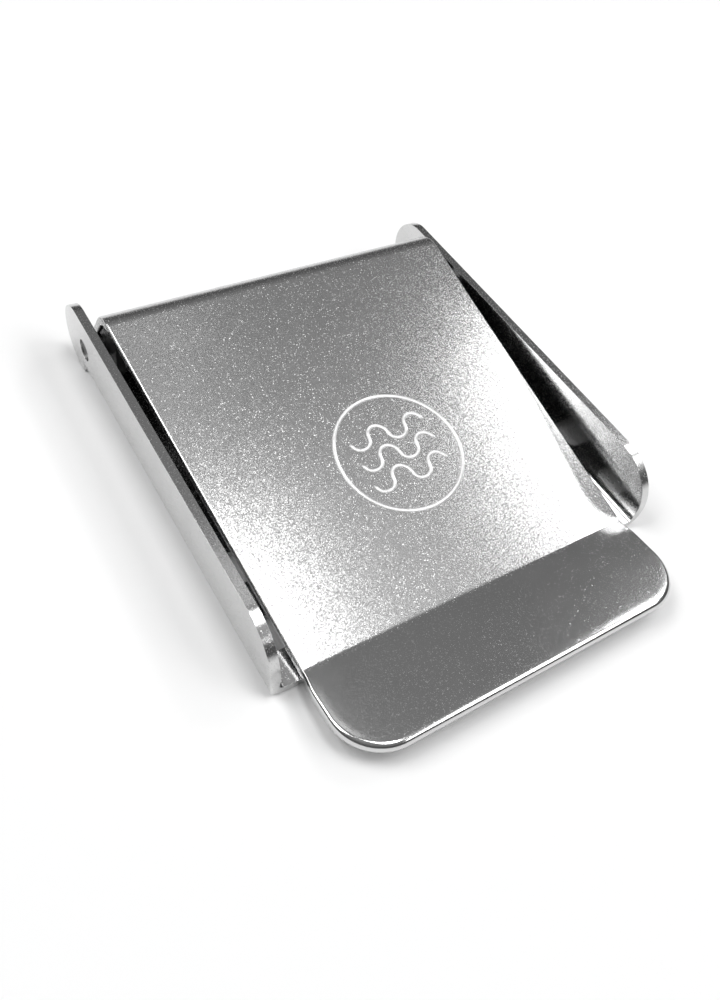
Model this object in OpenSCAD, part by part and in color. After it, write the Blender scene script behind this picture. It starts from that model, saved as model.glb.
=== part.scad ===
// Cam-lever strap buckle for flat 50 mm webbing, pressed from stainless sheet.
// Three pieces: a channel-shaped frame, a lever plate rolled round the hinge, a riveted pin.
// Millimetres, +Z up. X runs across the strap, +Y to the hinge end, -Y to the finger tab.
// Origin: middle of the frame's flat underside.

/* [Frame] */
// Width over the outer faces of the two side walls
frame_w = 56; // [55.6:0.2:60]
// Length of the side walls, front edge to the back of the ears
frame_l = 60.5; // [60:0.5:64]
// Height of the side walls above the underside
wall_h = 9.7; // [9.5:0.1:10.2]
// Thickness of the frame sheet
frame_t = 1.2; // [1:0.1:1.3]
// Inside radius of the fold between floor and wall
fold_r = 0.8; // [0.5:0.1:1.2]
// Radius of the top front corner of each wall
nose_r = 6.6; // [4:0.2:7.4]
// Gap left between the rear edge of the floor and the centre of the ears
floor_short = 1; // [0.5:0.25:2]

/* [Strap slots] */
// Length of each slot, across the strap
slot_w = 51.4; // [50.8:0.1:51.6]
// Width of each slot, along the strap
slot_l = 4.6; // [4.2:0.1:5]
// Width of the front bar, ahead of the first slot
front_bar = 4.25; // [3.5:0.25:5]
// Width of the bar between the two slots
middle_bar = 5; // [4:0.5:7]

/* [Lever plate] */
// Thickness of the lever sheet
lever_t = 1.2; // [1:0.05:1.3]
// Width of the plate at the hinge end
lever_w = 51.6; // [51:0.1:52]
// Width of the plate at the tab fold
waist_w = 48.3; // [46:0.1:50]
// Slope of the plate with the lever shut, degrees
slope = 9.86; // [9.4:0.02:9.9]
// Outer radius of the bend over the hinge end
cap_r = 4; // [3.6:0.1:4.2]

/* [Finger tab] */
// Distance of the tab fold ahead of the origin
tab_fold = 30; // [29:0.25:30.5]
// Distance of the tab's front edge ahead of the origin
tab_end = 42.6; // [41:0.2:46]
// Width of the tab
tab_w = 49; // [47:0.25:51]
// Radius of the tab's front corners
tab_r = 6.2; // [4:0.2:8]
// Angle by which the tab turns up from level, degrees
tab_pitch = 6.3; // [3:0.1:12]

/* [Hinge] */
// Diameter of the hinge pin
pin_d = 3; // [2.6:0.1:3.2]
// Gap between the pin and the lever's bores, on the radius
pin_gap = 0.05; // [0.03:0.01:0.09]
// Distance from the ear centre forward to the pin
pin_set = 2; // [1.5:0.1:2.4]
// Depth of each pin end below the ear's outer face
pin_sunk = 0.15; // [0.05:0.05:0.3]

/* [Gripping edge] */
// Spacing of the teeth along the gripping edge
tooth_pitch = 2.4; // [2:0.1:3]
// Depth of the notches between the teeth
tooth_depth = 0.9; // [0.5:0.1:1.1]

/* [Engraving] */
// Outer radius of the engraved ring
ring_r = 8.6; // [7.5:0.1:10]
// Width of the engraved lines
line_w = 0.5; // [0.4:0.05:0.8]
// Depth of the engraved lines
line_depth = 0.12; // [0.05:0.01:0.2]

/* [Hidden] */
$fn = 64;
eps = 0.01;

frame_steel = [0.74, 0.75, 0.76];
lever_steel = [0.80, 0.81, 0.82];
pin_steel = [0.62, 0.63, 0.65];

// frame
half_l = frame_l / 2;
inner_w = frame_w - 2 * frame_t;
fold_out = fold_r + frame_t;
ear_r = wall_h / 2;
ear_y = half_l - ear_r;
floor_end = ear_y - floor_short;
slot_r = 1;
slot1_y = -half_l + front_bar + slot_l / 2;
slot2_y = slot1_y + slot_l + middle_bar;

// hinge and rolled end of the lever, all in the Y-Z side view
pin_y = ear_y - pin_set;
pin_z = wall_h / 2;
pin_r = pin_d / 2;
bore_r = pin_r + pin_gap;
roll_r = bore_r + lever_t;
cap_ahead = 3.185;
cap_above = 2.52;
cap_y = pin_y - cap_ahead;
cap_z = pin_z + cap_above;
cap_span = sqrt(pow(cap_ahead, 2) + pow(cap_above, 2));
cap_turn = acos((cap_r - roll_r) / cap_span) - atan2(cap_above, cap_ahead);
lip_turn = -75;
lip_len = 1.9;
tip_y = pin_y + roll_r * cos(lip_turn) + lip_len * sin(lip_turn);
tip_z = pin_z + roll_r * sin(lip_turn) - lip_len * cos(lip_turn);

// plate and tab, top faces
plate_y = cap_y - cap_r * sin(slope);
plate_z = cap_z + cap_r * cos(slope);
bend_z = plate_z - (plate_y + tab_fold) * tan(slope);
spare = 1;
tab_z = bend_z + (tab_end + spare - tab_fold) * tan(tab_pitch);
mitre = lever_t / (1 + cos(slope + tab_pitch));
flare = 3;

// cheeks that carry the lever on the pin
cheek_in = 0.4;
cheek_front = 5.2;
cheek_r = 2.2;
cheek_drop = 0.15;
cheek_sink = 0.6 * lever_t;
cheek_end = -60;

// engraving
ring_y = -10;
ring_x = 1;
wave_r = 1.4;
wave_gap = 3.2;

// half width of a notch as a share of the tooth spacing
notch_share = 0.4;

// a point at radius r and angle a from the centre c, in the side view
function polar(c, r, a) = [c[0] + r * cos(a), c[1] + r * sin(a)];

// side-view drawing given width w across the strap
module across(w) {
    rotate([90, 0, 90])
        linear_extrude(height = w, center = true)
            children();
}

// part of a ring between two angles, less than half a turn apart
module ring_part(c, ro, ri, a1, a2) {
    far = 3 * ro;
    intersection() {
        translate(c)
            difference() {
                circle(r = ro);
                circle(r = ri);
            }
        polygon([c, polar(c, far, a1), polar(c, far, (a1 + a2) / 2), polar(c, far, a2)]);
    }
}

// flat rectangle with rounded corners, centred
module rounded(w, l, r) {
    square([w - 2 * r, l], center = true);
    square([w, l - 2 * r], center = true);
    for (sx = [-1, 1])
        for (sy = [-1, 1])
            translate([sx * (w / 2 - r), sy * (l / 2 - r)])
                circle(r = r);
}

// section of the channel with open top, seen along the strap
module channel_section(w, h, r) {
    translate([0, r + (h - r) / 2])
        square([w, h - r], center = true);
    translate([0, r / 2 + eps / 2])
        square([w - 2 * r, r + eps], center = true);
    for (sx = [-1, 1])
        translate([sx * (w / 2 - r), r])
            circle(r = r);
}

// folded channel: floor and two walls
module channel() {
    rotate([90, 0, 0])
        linear_extrude(height = frame_l + 2, center = true)
            difference() {
                channel_section(frame_w, wall_h, fold_out);
                translate([0, frame_t])
                    channel_section(inner_w, wall_h, fold_r);
            }
}

// outline of a wall seen from the side, up to the y given
module wall_outline(y_end) {
    translate([-half_l + nose_r, wall_h - nose_r])
        circle(r = nose_r);
    translate([-half_l, 0])
        square([nose_r, wall_h - nose_r]);
    translate([-half_l + nose_r, 0])
        square([y_end + half_l - nose_r, wall_h]);
}

module frame() {
    color(frame_steel)
        difference() {
            union() {
                // floor and walls as far as the floor goes
                intersection() {
                    channel();
                    across(frame_w + 2)
                        wall_outline(floor_end);
                }
                // flat ears behind the floor
                for (sx = [-1, 1])
                    translate([sx * (frame_w - frame_t) / 2, 0, 0])
                        across(frame_t)
                            intersection() {
                                union() {
                                    translate([ear_y, ear_r])
                                        circle(r = ear_r);
                                    translate([floor_end - eps, 0])
                                        square([floor_short + eps, wall_h]);
                                }
                                translate([floor_end - eps, 0])
                                    square([frame_l, wall_h]);
                            }
            }
            // pin holes, line to line with the pin
            translate([0, pin_y, pin_z])
                rotate([0, 90, 0])
                    cylinder(h = frame_w + 2, r = pin_r, center = true);
            // slots for the fixed end of the strap
            for (y = [slot1_y, slot2_y])
                translate([0, y, -1])
                    linear_extrude(height = frame_t + 2)
                        rounded(slot_w, slot_l, slot_r);
        }
}

// side view of the lever sheet: tab, plate, bend over the hinge, roll under the pin
module lever_section() {
    pc = [pin_y, pin_z];
    cc = [cap_y, cap_z];
    polygon([
        [plate_y, plate_z],
        [-tab_fold, bend_z],
        [-tab_end - spare, tab_z],
        [-tab_end - spare - lever_t * sin(tab_pitch), tab_z - lever_t * cos(tab_pitch)],
        [-tab_fold + mitre * (sin(slope) - sin(tab_pitch)),
            bend_z - mitre * (cos(slope) + cos(tab_pitch))],
        [plate_y + lever_t * sin(slope), plate_z - lever_t * cos(slope)]
    ]);
    ring_part(cc, cap_r, cap_r - lever_t, 90 + slope, cap_turn);
    polygon([
        polar(cc, cap_r, cap_turn),
        polar(pc, roll_r, cap_turn),
        polar(pc, bore_r, cap_turn),
        polar(cc, cap_r - lever_t, cap_turn)
    ]);
    ring_part(pc, roll_r, bore_r, cap_turn, lip_turn);
    polygon([
        polar(pc, roll_r, lip_turn),
        [tip_y, tip_z],
        [tip_y - lever_t * cos(lip_turn), tip_z - lever_t * sin(lip_turn)],
        polar(pc, bore_r, lip_turn)
    ]);
}

// side view of a cheek, inside the bend and ahead of the roll
module cheek_section() {
    pc = [pin_y, pin_z];
    cc = [cap_y, cap_z];
    front = pin_y - cheek_front;
    low = pin_z - cheek_drop;
    mid_cap = cap_r - lever_t / 2;
    mid_roll = roll_r - lever_t / 2;
    top = plate_z - (plate_y - front) * tan(slope) - cheek_sink;
    polygon([
        [front, top],
        [cap_y, cap_z + mid_cap],
        polar(cc, mid_cap, cap_turn),
        polar(pc, mid_roll, cap_turn),
        polar(pc, mid_roll, 0),
        polar(pc, mid_roll, cheek_end),
        [front + cheek_r, low - cheek_r],
        [front + cheek_r, low],
        [front, low]
    ]);
    translate([front + cheek_r, low])
        circle(r = cheek_r);
}

// plan of the lever: tapered plate, then the tab with rounded front corners
module lever_plan() {
    polygon([
        [-lever_w / 2, cap_y + cap_r + roll_r],
        [lever_w / 2, cap_y + cap_r + roll_r],
        [lever_w / 2, cap_y],
        [waist_w / 2, -tab_fold],
        [tab_w / 2, -tab_fold - flare],
        [tab_w / 2, -tab_end + tab_r],
        [-tab_w / 2, -tab_end + tab_r],
        [-tab_w / 2, -tab_fold - flare],
        [-waist_w / 2, -tab_fold],
        [-lever_w / 2, cap_y]
    ]);
    translate([-tab_w / 2 + tab_r, -tab_end])
        square([tab_w - 2 * tab_r, tab_r + eps]);
    for (sx = [-1, 1])
        translate([sx * (tab_w / 2 - tab_r), -tab_end + tab_r])
            circle(r = tab_r);
}

// one engraved wave line, four half rings end to end
module wave_line() {
    for (i = [0:3])
        translate([(i - 1.5) * 2 * wave_r, 0])
            rotate([0, 0, i % 2 == 0 ? 0 : 180])
                intersection() {
                    difference() {
                        circle(r = wave_r + line_w / 2);
                        circle(r = wave_r - line_w / 2);
                    }
                    translate([-2 * wave_r, 0])
                        square([4 * wave_r, 2 * wave_r]);
                }
}

// plain ring with three wave lines, cut into the plate's top
module engraving() {
    translate([ring_x, ring_y, bend_z + (ring_y + tab_fold) * tan(slope)])
        rotate([slope, 0, 0])
            translate([0, 0, -line_depth])
                linear_extrude(height = 1) {
                    difference() {
                        circle(r = ring_r);
                        circle(r = ring_r - line_w);
                    }
                    for (i = [-1:1])
                        translate([0, wave_gap * i])
                            wave_line();
                }
}

// notches that leave a row of teeth along the gripping edge
module notches() {
    reach = lever_w / 2 - cheek_in - lever_t - tooth_pitch / 2;
    count = floor(reach / tooth_pitch);
    for (i = [-count:count])
        translate([i * tooth_pitch, tip_y, tip_z])
            rotate([90 + lip_turn, 0, 0])
                translate([0, 0, -0.5])
                    linear_extrude(height = lever_t + 1)
                        polygon([
                            [-tooth_pitch * notch_share, -0.1],
                            [tooth_pitch * notch_share, -0.1],
                            [0, tooth_depth]
                        ]);
}

module lever() {
    color(lever_steel)
        difference() {
            union() {
                intersection() {
                    across(lever_w + 2)
                        lever_section();
                    translate([0, 0, -5])
                        linear_extrude(height = 25)
                            lever_plan();
                }
                for (sx = [-1, 1])
                    translate([sx * (lever_w / 2 - cheek_in - lever_t / 2), 0, 0])
                        across(lever_t)
                            cheek_section();
            }
            translate([0, pin_y, pin_z])
                rotate([0, 90, 0])
                    cylinder(h = frame_w, r = bore_r, center = true);
            notches();
            engraving();
        }
}

module pin() {
    color(pin_steel)
        translate([0, pin_y, pin_z])
            rotate([0, 90, 0])
                cylinder(h = frame_w - 2 * pin_sunk, r = pin_r, center = true);
}

frame();
lever();
pin();
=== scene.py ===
import math
import bmesh
import bpy
from mathutils import Matrix, Quaternion, Vector


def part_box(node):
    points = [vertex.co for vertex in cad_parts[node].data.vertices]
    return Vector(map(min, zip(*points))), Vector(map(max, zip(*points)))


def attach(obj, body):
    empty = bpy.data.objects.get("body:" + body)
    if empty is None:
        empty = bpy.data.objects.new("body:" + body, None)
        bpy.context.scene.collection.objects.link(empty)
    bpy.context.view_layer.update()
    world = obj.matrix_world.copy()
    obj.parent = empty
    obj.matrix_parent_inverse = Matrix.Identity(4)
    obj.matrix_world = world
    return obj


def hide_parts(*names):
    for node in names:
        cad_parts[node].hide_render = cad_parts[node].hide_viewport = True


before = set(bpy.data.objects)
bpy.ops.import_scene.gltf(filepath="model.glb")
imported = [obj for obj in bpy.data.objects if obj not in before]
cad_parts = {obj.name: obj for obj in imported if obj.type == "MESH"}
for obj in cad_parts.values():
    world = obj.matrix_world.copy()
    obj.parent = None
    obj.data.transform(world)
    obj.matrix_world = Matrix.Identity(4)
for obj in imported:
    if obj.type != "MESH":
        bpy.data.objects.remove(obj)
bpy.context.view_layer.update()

# ---- Camera ----
# A close look down on the shut buckle from the front left corner, the body of the camera
# turned a little about its own axis.
eye = Vector((-0.0518, -0.0630, 0.0873))
look = Vector((0.4221, 0.4640, -0.7789))
roll = math.radians(13.9)

camera_data = bpy.data.cameras.new("camera")
camera_data.lens = 30.85
camera_data.clip_start = 0.002
camera = bpy.data.objects.new("camera", camera_data)
camera.location = eye
camera.rotation_mode = "QUATERNION"
camera.rotation_quaternion = look.to_track_quat("-Z", "Y") @ Quaternion((0, 0, 1), roll)
bpy.context.collection.objects.link(camera)
bpy.context.scene.camera = camera

# ---- Frame ----
# One strip of 1.2 mm stainless sheet, blanked with its ears and strap slots and folded up
# into a channel. Tumbling rounds its cut edges and leaves a bright skin with a fine grain.
# The pin is riveted into its ears.
sheet = 0.0012
fold = 0.0020
nose = 0.0066
slot_across, slot_along, slot_corner = 0.0514, 0.0046, 0.0010
front_bar, middle_bar = 0.00425, 0.0050
floor_short, ear_slit, ear_foot = 0.0010, 0.00012, 0.0001
worn_edge, sharp_turn = 0.00042, math.radians(50)
broad_face, face_rim = 50e-6, 0.0001
touching = 1e-6

low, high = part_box("frame")
half_width, front, back, top = high[0], low[1], high[1], high[2]
ear = top / 2
floor_back = back - ear - floor_short

pin_low, pin_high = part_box("pin")
pin_radius = (pin_high[2] - pin_low[2]) / 2
pin_centre = Vector((0, (pin_low[1] + pin_high[1]) / 2, (pin_low[2] + pin_high[2]) / 2))
crosswise = Matrix.Rotation(math.pi / 2, 4, "Y")


def only(kind, made):
    """Picks the vertices, edges or faces out of what an operator made."""
    return [g for g in made if isinstance(g, kind)]


def edges_at(verts):
    """The edges at some vertices, each once and always in the same order."""
    return list(dict.fromkeys(e for v in verts for e in v.link_edges))


def straight(bm, vert, point):
    """Draws on from a vertex in a straight line, and returns the new end."""
    end = bmesh.ops.extrude_vert_indiv(bm, verts=[vert])["verts"][0]
    end.co = point
    return end


def curved(bm, vert, centre, degrees, steps, axis=(1, 0, 0)):
    """Draws on from a vertex round a centre, and returns the new end."""
    made = bmesh.ops.spin(bm, geom=[vert], cent=centre, axis=axis,
                          angle=math.radians(degrees), steps=steps, use_duplicate=False)
    return only(bmesh.types.BMVert, made["geom_last"])[0]


def closed(bm, start, end):
    """Joins the end of a drawn line to its start and returns the whole loop of edges."""
    bmesh.ops.contextual_create(bm, geom=[start, end])
    loop, vert, edge = [], start, start.link_edges[0]
    while edge not in loop:
        loop.append(edge)
        vert = edge.other_vert(vert)
        edge = [e for e in vert.link_edges if e is not edge][0]
    return loop


def pin_hole(bm, x, radius):
    """A round hole for the pin, drawn on the plane at x."""
    place = Matrix.Translation((x, pin_centre.y, pin_centre.z)) @ crosswise
    ring = bmesh.ops.create_circle(bm, segments=40, radius=radius, matrix=place)["verts"]
    return edges_at(ring)


def make(name, bm, body, material, node=None):
    """Turns a finished mesh into a piece that rides on its body."""
    mesh = bpy.data.meshes.new(name)
    bm.to_mesh(mesh)
    bm.free()
    mesh.materials.append(material)
    piece = bpy.data.objects.new(name, mesh)
    bpy.context.collection.objects.link(piece)
    for face in mesh.polygons:
        face.use_smooth = True
    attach(piece, body)
    if node:
        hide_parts(node)
    return piece


def thicken(piece):
    """Turns a drawn skin into sheet metal, the drawn side staying outermost."""
    modifier = piece.modifiers.new("sheet", "SOLIDIFY")
    modifier.thickness = sheet
    modifier.offset = -1
    modifier.use_even_offset = True


def tumble_edges(piece, width, segments):
    """Rounds the cut edges, which turn more sharply than any fold, and returns the bevel."""
    modifier = piece.modifiers.new("tumbled edges", "BEVEL")
    modifier.width = width
    modifier.segments = segments
    modifier.limit_method = "ANGLE"
    modifier.angle_limit = sharp_turn
    return modifier


def settle(piece):
    """Fixes a piece's modifiers in its mesh and gives each broad face a thin flat rim."""
    bm = bmesh.new()
    bm.from_object(piece, bpy.context.evaluated_depsgraph_get())
    level = math.radians(0.5)
    bmesh.ops.dissolve_limit(bm, angle_limit=level, verts=bm.verts, edges=bm.edges)
    flats = [f for f in bm.faces if f.calc_area() > broad_face]
    bmesh.ops.inset_individual(bm, faces=flats, thickness=face_rim, use_even_offset=True)
    bmesh.ops.triangulate(bm, faces=[f for f in flats if len(f.verts) > 4])
    piece.modifiers.clear()
    bm.to_mesh(piece.data)
    bm.free()


def even_shading(piece):
    """Keeps the broad faces flat beside rounded edges."""
    modifier = piece.modifiers.new("even shading", "WEIGHTED_NORMAL")
    modifier.keep_sharp = True
    modifier.weight = 80


def tumbled_steel(name, tint, gloss, grain, sparkle, smooth_before=None):
    """Bright stainless left with a skin of tiny flats by tumbling, and a few deeper dents.

    In front of smooth_before, a place along the strap, the skin is nearly polished out.
    """
    drift_scale, drift_detail, darkest = 260, 4, 0.95
    flat_scale, dent_scale = 8500, 9000
    dent_above, dent_haze = 0.92, 1.8
    fade_front, fade_back = 0.0006, 0.0004
    polished_grain, polished_gloss = 0.18, 0.55

    material = bpy.data.materials.new(name)
    material.use_nodes = True
    nodes, links = material.node_tree.nodes, material.node_tree.links
    shader = nodes["Principled BSDF"]
    shader.inputs["Metallic"].default_value = 1.0
    place = nodes.new("ShaderNodeTexCoord").outputs["Object"]

    def step(kind, operation, *values):
        """Joins values or sockets through one arithmetic node."""
        node = nodes.new(kind)
        node.operation = operation
        for socket, value in zip(node.inputs, values):
            if hasattr(value, "links"):
                links.new(value, socket)
            else:
                socket.default_value = value
        return node.outputs[0]

    def on_all_axes(value):
        """The same value along all three axes."""
        node = nodes.new("ShaderNodeCombineXYZ")
        for socket in node.inputs:
            links.new(value, socket)
        return node.outputs["Vector"]

    def cells(scale):
        """A random colour for each cell of a fine pattern."""
        node = nodes.new("ShaderNodeTexVoronoi")
        node.inputs["Scale"].default_value = scale
        links.new(place, node.inputs["Vector"])
        return node.outputs["Color"]

    def lean(colour, strength):
        """The way the surface leans in a cell, from the cell's colour."""
        centred = step("ShaderNodeVectorMath", "SUBTRACT", colour, (0.5, 0.5, 0.5))
        return step("ShaderNodeVectorMath", "MULTIPLY", centred, strength)

    drift = nodes.new("ShaderNodeTexNoise")
    drift.inputs["Scale"].default_value = drift_scale
    drift.inputs["Detail"].default_value = drift_detail
    links.new(place, drift.inputs["Vector"])
    tone = nodes.new("ShaderNodeValToRGB")
    for element, position, grey in zip(tone.color_ramp.elements, (0.3, 0.7), (tint * darkest, tint)):
        element.position = position
        element.color = (grey, grey, grey, 1)
    links.new(drift.outputs["Fac"], tone.inputs["Fac"])
    links.new(tone.outputs["Color"], shader.inputs["Base Color"])

    flat_lean = lean(cells(flat_scale), (grain, grain, grain))
    dents = cells(dent_scale)
    parts = nodes.new("ShaderNodeSeparateColor")
    links.new(dents, parts.inputs["Color"])
    dented = step("ShaderNodeMath", "GREATER_THAN", parts.outputs["Blue"], dent_above)
    deep = step("ShaderNodeMath", "MULTIPLY", dented, sparkle)
    dent_lean = lean(dents, on_all_axes(deep))
    both = step("ShaderNodeVectorMath", "ADD", flat_lean, dent_lean)

    haze = nodes.new("ShaderNodeMapRange")
    haze.inputs["To Min"].default_value = gloss
    haze.inputs["To Max"].default_value = gloss * dent_haze
    links.new(dented, haze.inputs["Value"])
    rough = haze.outputs["Result"]
    if smooth_before is not None:
        split = nodes.new("ShaderNodeSeparateXYZ")
        links.new(place, split.inputs["Vector"])
        fade = nodes.new("ShaderNodeMapRange")
        fade.inputs["From Min"].default_value = smooth_before - fade_front
        fade.inputs["From Max"].default_value = smooth_before + fade_back
        fade.inputs["To Min"].default_value = polished_grain
        links.new(split.outputs["Y"], fade.inputs["Value"])
        kept = fade.outputs["Result"]
        both = step("ShaderNodeVectorMath", "MULTIPLY", both, on_all_axes(kept))
        polish = step("ShaderNodeMath", "MULTIPLY_ADD", kept, 1 - polished_gloss, polished_gloss)
        rough = step("ShaderNodeMath", "MULTIPLY", rough, polish)
    links.new(rough, shader.inputs["Roughness"])
    surface = nodes.new("ShaderNodeNewGeometry").outputs["Normal"]
    leaning = step("ShaderNodeVectorMath", "ADD", surface, both)
    links.new(step("ShaderNodeVectorMath", "NORMALIZE", leaning), shader.inputs["Normal"])
    return material


frame_steel = tumbled_steel("frame_steel", 0.66, 0.17, 0.02, 0.12)

bm = bmesh.new()
ends = []
for side in (-1, 1):
    x = side * half_width
    start = bm.verts.new((x, front, fold))
    end = straight(bm, start, (x, front, top - nose))
    end = curved(bm, end, (x, front + nose, top - nose), -90, 20)
    end = straight(bm, end, (x, back - ear, top))
    end = curved(bm, end, (x, back - ear, ear), -180, 40)
    end = straight(bm, end, (x, floor_back + ear_slit, ear_foot))
    end = straight(bm, end, (x, floor_back + ear_slit, fold))
    end = straight(bm, end, (x, floor_back, fold))
    outline = closed(bm, start, end)
    foot = [e for e in outline if start in e.verts and end in e.verts]
    bmesh.ops.triangle_fill(bm, edges=outline + pin_hole(bm, x, pin_radius), use_beauty=True)
    bent = bmesh.ops.spin(bm, geom=foot, cent=(side * (half_width - fold), 0, fold),
                          axis=(0, side, 0), angle=math.pi / 2, steps=10, use_duplicate=False)
    ends += only(bmesh.types.BMEdge, bent["geom_last"])

floor_edges = list(ends)
for y in (front, floor_back):
    pair = [v for e in ends for v in e.verts if abs(v.co.y - y) < touching]
    floor_edges += bmesh.ops.contextual_create(bm, geom=pair)["edges"]
slot_y = front + front_bar + slot_along / 2
across = slot_across / 2 - slot_corner
along = slot_along / 2 - slot_corner
for y in (slot_y, slot_y + slot_along + middle_bar):
    start = bm.verts.new((-across, y - along - slot_corner, 0))
    end = start
    # The last corner stops just short of the start, which leaves a line to close the slot.
    for sx, sy, degrees in ((1, -1, 90), (1, 1, 90), (-1, 1, 90), (-1, -1, 88.2)):
        centre = Vector((sx * across, y + sy * along, 0))
        before = Vector((0, slot_corner, 0)) * sy if sx != sy else Vector((slot_corner, 0, 0)) * sx
        end = straight(bm, end, centre + before)
        end = curved(bm, end, centre, degrees, 5, axis=(0, 0, 1))
    floor_edges += closed(bm, start, end)
bmesh.ops.triangle_fill(bm, edges=floor_edges, use_beauty=True)
bmesh.ops.remove_doubles(bm, verts=bm.verts, dist=touching / 10)
bmesh.ops.recalc_face_normals(bm, faces=bm.faces)
if sum(f.normal.z * f.calc_area() for f in bm.faces) > 0:
    bmesh.ops.reverse_faces(bm, faces=bm.faces)

frame_piece = make("frame_sheet", bm, "frame_body", frame_steel, node="frame")
thicken(frame_piece)
tumble_edges(frame_piece, worn_edge, 4)
settle(frame_piece)
even_shading(frame_piece)

# ---- Pin ----
# A plain drawn stainless rod, cut to length, set into the ears and riveted a hair below
# their faces, so each end shows as a small rounded dish in its hole.
rivet_round, dish_inset, dish_depth = 0.00035, 0.0005, 0.00012
# Its tint is painted shade: the same steel made near black to stand for the shadow on the pin ends in
# their holes and on the rod in the hinge gap.
pin_steel = tumbled_steel("pin_steel", 0.12, 0.35, 0.05, 0.1)

bm = bmesh.new()
bmesh.ops.create_cone(bm, cap_ends=True, segments=48, radius1=pin_radius, radius2=pin_radius,
                      depth=pin_high[0] - pin_low[0],
                      matrix=Matrix.Translation(pin_centre) @ crosswise)
caps = [f for f in bm.faces if len(f.verts) > 4]
bmesh.ops.bevel(bm, geom=[e for f in caps for e in f.edges], offset=rivet_round, segments=4,
                profile=0.5, affect="EDGES", material=-1)
caps = [f for f in bm.faces if len(f.verts) > 4]
bmesh.ops.inset_individual(bm, faces=caps, thickness=dish_inset, depth=-dish_depth)
pin_piece = make("hinge_pin", bm, "frame_body", pin_steel, node="pin")
even_shading(pin_piece)

# ---- Lever ----
# One blank of 1.2 mm sheet: the finger tab turned up at the front, the tapered plate, and
# the hinge end bent over, rolled round the pin and cut into teeth along its edge.
slope = math.radians(9.86)
pitch = math.radians(6.3)
pin_play = 0.00005
cap_radius, cap_ahead, cap_rise = 0.0040, 0.003185, 0.00252
tab_fold, tab_corner = -0.0300, 0.0062
plate_half, waist_half, tab_half = 0.0258, 0.02415, 0.0245
flare, flare_steps, crease = 0.0030, 4, 0.0010
lip, lip_turn = 0.0019, math.radians(-75)
tooth, tooth_depth = 0.0024, 0.0009

tab_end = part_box("lever")[0][1]
bore = pin_radius + pin_play
roll_radius = bore + sheet
cap_centre = pin_centre + Vector((0, -cap_ahead, cap_rise))
span = pin_centre - cap_centre
turn = math.acos((cap_radius - roll_radius) / span.length) + math.atan2(span.z, span.y)
plate_up = Vector((0, -math.sin(slope), math.cos(slope)))
plate_top = cap_centre + cap_radius * plate_up
sideways = Vector((1, 0, 0))


def plate_z(y):
    """The height of the plate's top at a distance along the strap."""
    return plate_top.z - (plate_top.y - y) * math.tan(slope)


def half_at(y):
    """Half the plate's width at a distance along the strap."""
    part = min((y - tab_fold) / (cap_centre.y - tab_fold), 1)
    return waist_half + (plate_half - waist_half) * max(part, 0)


def flared(side):
    """The points along which one side of the tab widens, from the crease outward."""
    points = []
    for i in range(1, flare_steps + 1):
        part = i / flare_steps
        swell = (tab_half - waist_half) * (3 - 2 * part) * part * part
        points.append(crease_start + along_tab * flare * part + sideways * side * (waist_half + swell))
    return points


lever_steel = tumbled_steel("lever_steel", 0.66, 0.22, 0.065, 0.44, smooth_before=tab_fold)

bend = slope + pitch
along_tab = Vector((0, -math.cos(pitch), math.sin(pitch)))
tab_up = Vector((0, math.sin(pitch), math.cos(pitch)))
fold_line = Vector((0, tab_fold, plate_z(tab_fold)))
crease_start = fold_line + along_tab * crease * math.tan(bend / 2)
tab_length = (tab_fold - tab_end) / math.cos(pitch)
corner_at = fold_line + along_tab * (tab_length - tab_corner)

bm = bmesh.new()
start = bm.verts.new(crease_start - sideways * waist_half)
end = start
for point in flared(-1):
    end = straight(bm, end, point)
corner = corner_at - sideways * (tab_half - tab_corner)
end = straight(bm, end, corner - sideways * tab_corner)
end = curved(bm, end, corner, 90, 14, axis=tab_up)
corner = corner_at + sideways * (tab_half - tab_corner)
end = straight(bm, end, corner + along_tab * tab_corner)
end = curved(bm, end, corner, 90, 14, axis=tab_up)
for point in reversed(flared(1)):
    end = straight(bm, end, point)
end = straight(bm, end, crease_start + sideways * waist_half)
bmesh.ops.contextual_create(bm, geom=closed(bm, start, end))

start = bm.verts.new(crease_start)
end = curved(bm, start, crease_start + tab_up * crease, math.degrees(bend), 5)
end = straight(bm, end, plate_top)
end = curved(bm, end, cap_centre, math.degrees(turn - slope) - 90, 18)
end = straight(bm, end, pin_centre + roll_radius * Vector((0, math.cos(turn), math.sin(turn))))
end = curved(bm, end, pin_centre, math.degrees(lip_turn - turn), 24)
tip = end.co + lip * Vector((0, math.sin(lip_turn), -math.cos(lip_turn)))
straight(bm, end, tip)
profile = [v for v in bm.verts if abs(v.co.x) < touching]
for vert in profile:
    vert.co.x = -half_at(vert.co.y)
line = [e for e in edges_at(profile) if all(v in profile for v in e.verts)]
swept = bmesh.ops.extrude_edge_only(bm, edges=line)
for vert in only(bmesh.types.BMVert, swept["geom"]):
    vert.co.x = -vert.co.x
bmesh.ops.remove_doubles(bm, verts=bm.verts, dist=2 * touching)

tip_edge = [e for e in bm.edges if all((v.co - tip).yz.length < touching for v in e.verts)]
teeth = int(2 * plate_half / tooth)
cut = bmesh.ops.subdivide_edges(bm, edges=tip_edge, cuts=2 * teeth - 1)
between = sorted(only(bmesh.types.BMVert, cut["geom_inner"]), key=lambda v: v.co.x)
inward = Vector((0, -math.sin(lip_turn), math.cos(lip_turn)))
for vert in between[2:-2:2]:
    vert.co += inward * tooth_depth
bmesh.ops.recalc_face_normals(bm, faces=bm.faces)
if sum(f.normal.z * f.calc_area() for f in bm.faces if f.calc_center_median().y < 0) < 0:
    bmesh.ops.reverse_faces(bm, faces=bm.faces)

lever_piece = make("lever_sheet", bm, "lever_body", lever_steel, node="lever")
etched_steel = tumbled_steel("etched_steel", 0.85, 0.5, 0.1, 0.1)
lever_piece.data.materials.append(etched_steel)
thicken(lever_piece)

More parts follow.
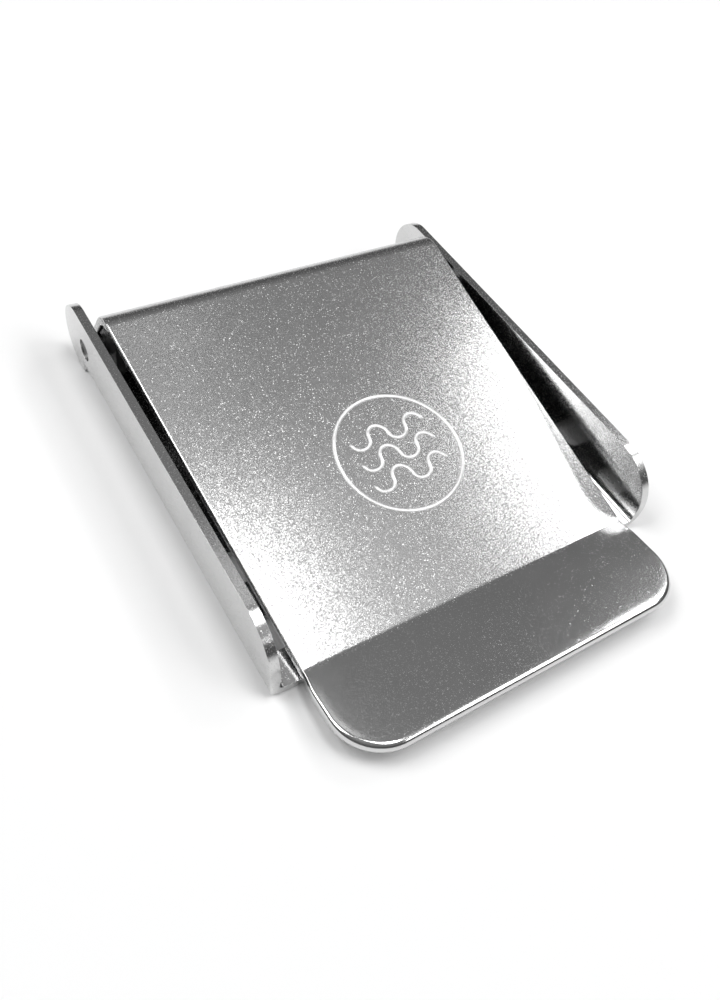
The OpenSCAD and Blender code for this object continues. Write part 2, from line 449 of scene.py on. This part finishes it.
# The finger edge of the tab is rounded generously on top, every other edge only broken.
finger_round, broken_edge = 0.00075, 0.00028
round_from, round_by = 0.0040, 0.0072
least = broken_edge / finger_round
bm = bmesh.new()
bm.from_object(lever_piece, bpy.context.evaluated_depsgraph_get())
tab_top = max([f for f in bm.faces if f.normal.dot(tab_up) > 0.999], key=lambda f: f.calc_area())
bmesh.ops.inset_individual(bm, faces=[tab_top], thickness=2 * finger_round, use_even_offset=True)
crease_ends = [v for v in bm.verts if (v.co - crease_start).yz.length < touching]
bmesh.ops.dissolve_edges(bm, use_verts=False, edges=[
    e for v in crease_ends for e in v.link_edges if e.other_vert(v) in tab_top.verts])
share = bm.edges.layers.float.new("bevel_weight_edge")
for edge in bm.edges:
    if edge.calc_face_angle(0) < sharp_turn:
        continue
    from_crease = (edge.verts[0].co + edge.verts[1].co) / 2 - crease_start
    reach = (from_crease.dot(along_tab) - round_from) / (round_by - round_from)
    on_top = from_crease.dot(tab_up) > -0.1 * sheet
    edge[share] = least + (1 - least) * min(reach, 1) if on_top and reach > 0 else least
lever_piece.modifiers.clear()
bm.to_mesh(lever_piece.data)
bm.free()
soft = tumble_edges(lever_piece, finger_round, 5)
soft.limit_method = "WEIGHT"
soft.use_clamp_overlap = False

# A ring round three rows of waves, cut into the plate as a shallow half-round line.
line_width, line_depth = 0.0005, 0.00012
ring_radius, wave_radius, wave_rows, wave_gap = 0.0086, 0.0014, 3, 0.0032
badge_x, badge_y, badge_edge = 0.0010, -0.0100, 1.1 * ring_radius
groove_top, groove_floor = -0.05 * line_depth, -0.9 * sheet
cutter_radius = (line_width ** 2 / 4 + line_depth ** 2) / (2 * line_depth)
badge = Vector((badge_x, badge_y, plate_z(badge_y)))
above = Matrix.Translation(badge + plate_up * (cutter_radius - line_depth))
on_plate = above @ Matrix.Rotation(slope, 4, "X")
upright = Matrix.Rotation(math.pi / 2, 4, "X")


def cut_wave(bm, at):
    """Runs the round cutter along one wave of four half circles that starts at a point."""
    place = on_plate @ Matrix.Translation(at) @ upright
    tool = bmesh.ops.create_circle(bm, cap_ends=True, segments=14, radius=cutter_radius,
                                   matrix=place)["verts"]
    last = list(tool[0].link_faces) + edges_at(tool) + tool
    centre = at + sideways * wave_radius
    for degrees in (180, -180, 180, -180):
        made = bmesh.ops.spin(bm, geom=last, cent=on_plate @ centre, axis=plate_up,
                              angle=math.radians(degrees), steps=10, use_duplicate=False)
        last = made["geom_last"]
        centre.x += 2 * wave_radius


bm = bmesh.new()
for row in range(wave_rows):
    cut_wave(bm, Vector((-4 * wave_radius, (1 - row) * wave_gap, 0)))
place = on_plate @ Matrix.Translation(sideways * ring_radius) @ upright
tool = bmesh.ops.create_circle(bm, segments=14, radius=cutter_radius, matrix=place)["verts"]
bmesh.ops.spin(bm, geom=tool + edges_at(tool), cent=on_plate.translation, axis=plate_up,
               angle=2 * math.pi, steps=96, use_duplicate=False, use_merge=True)
bmesh.ops.recalc_face_normals(bm, faces=bm.faces)
cutter_mesh = bpy.data.meshes.new("cutter")
bm.to_mesh(cutter_mesh)
bm.free()
cutter = bpy.data.objects.new("cutter", cutter_mesh)
bpy.context.collection.objects.link(cutter)
carve = lever_piece.modifiers.new("engraving", "BOOLEAN")
carve.operation = "DIFFERENCE"
carve.solver = "EXACT"
carve.object = cutter
bm = bmesh.new()
bm.from_object(lever_piece, bpy.context.evaluated_depsgraph_get())
lever_piece.modifiers.clear()
for face in bm.faces:
    from_badge = face.calc_center_median() - badge
    in_groove = groove_floor < from_badge.dot(plate_up) < groove_top
    if in_groove and from_badge.length < badge_edge:
        face.material_index = 1
        face.smooth = True
for edge in bm.edges:
    edge.smooth = len({f.material_index for f in edge.link_faces}) == 1
bm.to_mesh(lever_piece.data)
bm.free()
bpy.data.objects.remove(cutter)
even_shading(lever_piece)

# ---- Cheeks ----
# The two lugs of the lever's blank, bent down inside its edges as flat cheeks of the same
# steel, left dull, painted dark as shade in the gap beside the walls, and pierced for the pin.
# They carry the lever's load and keep it square.
cheek_inset, cheek_reach, cheek_corner, cheek_round = 0.0004, 0.0052, 0.0022, 0.0002
tuck, knee_drop = 0.6 * sheet, 0.00015

bm = bmesh.new()
for side in (-1, 1):
    x = side * (plate_half - cheek_inset)
    y = pin_centre.y - cheek_reach
    knee = pin_centre.z - knee_drop
    middle_roll = roll_radius - sheet / 2
    start = bm.verts.new((x, y, knee))
    end = straight(bm, start, (x, y, plate_z(y) - tuck))
    end = straight(bm, end, (x, cap_centre.y, cap_centre.z + cap_radius - sheet / 2))
    end = curved(bm, end, (x, cap_centre.y, cap_centre.z), math.degrees(turn) - 90, 12)
    end = straight(bm, end, (x, pin_centre.y + middle_roll * math.cos(turn),
                             pin_centre.z + middle_roll * math.sin(turn)))
    end = curved(bm, end, (x, pin_centre.y, pin_centre.z), -60 - math.degrees(turn), 14)
    # The last corner too stops short, so that a line is left to close the outline.
    end = straight(bm, end, (x, y + cheek_corner, knee - cheek_corner))
    end = curved(bm, end, (x, y + cheek_corner, knee), -85, 10)
    outline = closed(bm, start, end)
    filled = bmesh.ops.triangle_fill(bm, edges=outline + pin_hole(bm, x, bore), use_beauty=True)
    faces = only(bmesh.types.BMFace, filled["geom"])
    pushed = bmesh.ops.extrude_face_region(bm, geom=faces, use_keep_orig=True)
    bmesh.ops.translate(bm, vec=(-side * sheet, 0, 0), verts=only(bmesh.types.BMVert, pushed["geom"]))
bmesh.ops.recalc_face_normals(bm, faces=bm.faces)
# The cheeks' dark tint is painted shade for the hinge gap; their roughness is the real dull finish.
dull_and_shade_painted_steel = tumbled_steel("dull_and_shade_painted_steel", 0.25, 0.4, 0.05, 0.1)
cheeks = make("lever_cheeks", bm, "lever_body", dull_and_shade_painted_steel)
tumble_edges(cheeks, cheek_round, 2)
even_shading(cheeks)

# ---- Floor and lights ----
# A plain pale table a hair below the buckle, soft boxes overhead around it, and a dim grey
# room, which the bright steel shows as broad white and grey zones.
table_gap, table_grey = 0.00005, 0.93

bm = bmesh.new()
bmesh.ops.create_grid(bm, x_segments=1, y_segments=1, size=5)
floor_mesh = bpy.data.meshes.new("floor")
bm.to_mesh(floor_mesh)
bm.free()
floor = bpy.data.objects.new("floor", floor_mesh)
floor.location.z = -table_gap
bpy.context.collection.objects.link(floor)
table = bpy.data.materials.new("table")
table.use_nodes = True
surface = table.node_tree.nodes["Principled BSDF"].inputs
surface["Base Color"].default_value = (table_grey, table_grey, table_grey, 1)
surface["Roughness"].default_value = 1.0
surface["Specular IOR Level"].default_value = 0.0
floor_mesh.materials.append(table)


def soft_box(name, left, right, near, far, glow, height=1.0):
    """A rectangular light facing down from overhead; glow is how bright its face looks."""
    data = bpy.data.lights.new(name, "AREA")
    data.shape = "RECTANGLE"
    data.size, data.size_y = right - left, far - near
    data.energy = glow * math.pi * data.size * data.size_y
    lamp = bpy.data.objects.new(name, data)
    lamp.location = ((left + right) / 2, (near + far) / 2, height)
    bpy.context.collection.objects.link(lamp)


soft_box("left_box", 0.00, 0.26, -0.30, 0.18, 7.5)
soft_box("right_box", 0.81, 1.04, -0.04, 0.39, 7.5)
soft_box("front_box", 0.46, 1.00, -1.30, -0.18, 4.6)
soft_box("fill_box", -0.95, -0.25, 0.15, 0.75, 6)
soft_box("far_box", 1.12, 1.30, 0.22, 0.52, 1.6)
soft_box("edge_box", 0.27, 0.30, 0.44, 0.58, 2)

room = bpy.data.worlds.new("room")
room.use_nodes = True
sky = room.node_tree
up = sky.nodes.new("ShaderNodeTexCoord")
split = sky.nodes.new("ShaderNodeSeparateXYZ")
sky.links.new(up.outputs["Generated"], split.inputs["Vector"])
shade = sky.nodes.new("ShaderNodeValToRGB")
shade.color_ramp.elements[0].position = 0.0
shade.color_ramp.elements[0].color = (0.80, 0.80, 0.80, 1)
shade.color_ramp.elements[1].position = 0.95
shade.color_ramp.elements[1].color = (0.28, 0.28, 0.28, 1)
for height, grey in ((0.06, 0.80), (0.16, 0.07), (0.45, 0.10), (0.72, 0.20)):
    shade.color_ramp.elements.new(height).color = (grey, grey, grey, 1)
sky.links.new(split.outputs["Z"], shade.inputs["Fac"])
sky.links.new(shade.outputs["Color"], sky.nodes["Background"].inputs["Color"])
bpy.context.scene.world = room
bpy.context.scene.view_settings.view_transform = "Standard"
